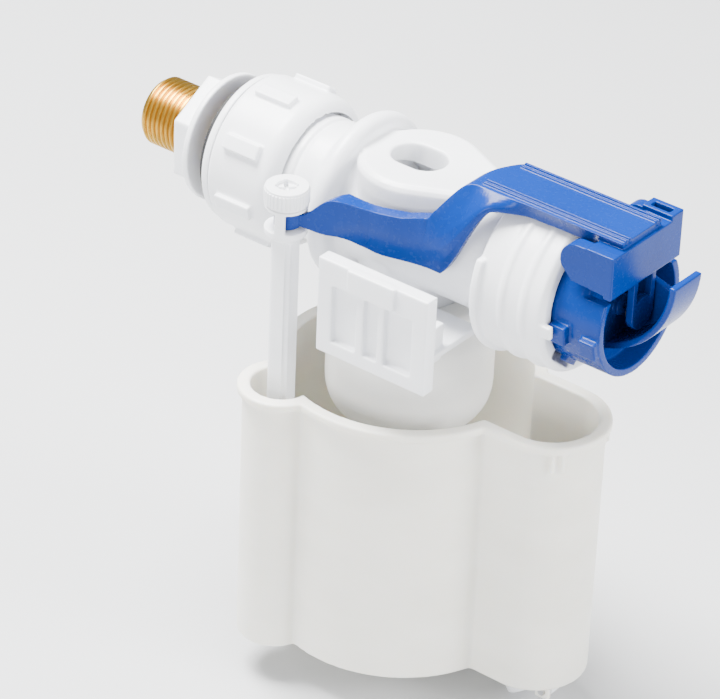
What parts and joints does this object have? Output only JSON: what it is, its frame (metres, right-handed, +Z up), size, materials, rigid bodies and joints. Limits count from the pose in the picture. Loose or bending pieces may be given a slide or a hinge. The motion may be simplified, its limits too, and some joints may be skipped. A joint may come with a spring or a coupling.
{
  "type": "toilet fill valve",
  "caption": "Side-entry toilet fill valve with brass inlet, union nut, servo head, bayonet cap, float lever, ribbed hanger, float in a casing and outlet tube.",
  "frame": {"origin": "on the inlet axis at the inner face of the cistern wall, where the wall gasket seals", "axes": "+X along the valve towards its head, +Z up, so that -Y is the side with the lever and the bracket plate"},
  "size_m": [0.1476, 0.0685, 0.1381],
  "materials": {
    "brass": "machined brass thread, slightly dull",
    "white_plastic": "moulded white plastic with a soft sheen",
    "warm_plastic": "slightly translucent warm white plastic",
    "blue_plastic": "glossy royal blue moulded plastic",
    "rubber": "black sealing rubber",
    "steel": "stainless steel"
  },
  "bodies": {
    "root": {"inlet_nipple": "brass", "wall_lock_nut": "white_plastic", "wall_gasket": "rubber", "wall_socket": "white_plastic", "union_seal": "rubber", "inlet_strainer": "white_plastic", "flow_restrictor": "blue_plastic", "valve_body": "white_plastic", "seat_tube": "white_plastic", "seat_tube_ring": "rubber", "diaphragm": "rubber", "control_pin": "steel", "head_cap": "blue_plastic", "cap_ring": "rubber", "pivot_pin": "steel", "float_casing": "warm_plastic", "outlet_housing": "white_plastic", "discharge_tube": "white_plastic", "tube_seal": "rubber", "bracket_plate": "white_plastic", "flap_pin": "steel"},
    "coupling_nut": {"union_nut": "white_plastic"},
    "servo_disc": {"valve_disc": "white_plastic"},
    "lever": {"float_lever": "blue_plastic", "pilot_pad": "rubber"},
    "hanger": {"float_hanger": "white_plastic"},
    "adjuster": {"adjuster_spindle": "white_plastic", "adjuster_knob": "white_plastic"},
    "float": {"float_block": "white_plastic"},
    "flap": {"drain_flap": "white_plastic"}
  },
  "joints": [
    {"name": "lever_swing", "type": "hinge", "parent": "root", "child": "lever", "pos_m": [0.1035, 0, 0.0158], "axis": [0, 1, 0], "range_deg": [0, 6]},
    {"name": "float_rise", "type": "slide", "parent": "root", "child": "hanger", "axis": [0, 0, 1], "range_m": [0, 0.0075]},
    {"name": "adjuster_turn", "type": "hinge", "parent": "hanger", "child": "adjuster", "pos_m": [0.0342, -0.0266, 0.011], "axis": [0, 0, 1], "range_deg": [-725, 365]},
    {"name": "float_height", "type": "slide", "parent": "hanger", "child": "float", "axis": [0, 0, 1], "range_m": [-0.0025, 0.005]},
    {"name": "disc_lift", "type": "slide", "parent": "root", "child": "servo_disc", "axis": [1, 0, 0], "range_m": [-0.0016, 0]},
    {"name": "union_nut_turn", "type": "hinge", "parent": "root", "child": "coupling_nut", "pos_m": [0.012, 0, 0], "axis": [1, 0, 0], "range_deg": [0, 90]},
    {"name": "drain_flap_swing", "type": "hinge", "parent": "root", "child": "flap", "pos_m": [0.095, 0.003, -0.1092], "axis": [0, 1, 0], "range_deg": [0, 35]}
  ],
  "couplings": [
    {"joint": "float_rise", "follows": "lever_swing", "m_per_rad": 0.0693},
    {"joint": "disc_lift", "follows": "lever_swing", "m_per_rad": -0.01433},
    {"joint": "adjuster_turn", "follows": "float_height", "rad_per_m": -2513.3}
  ]
}
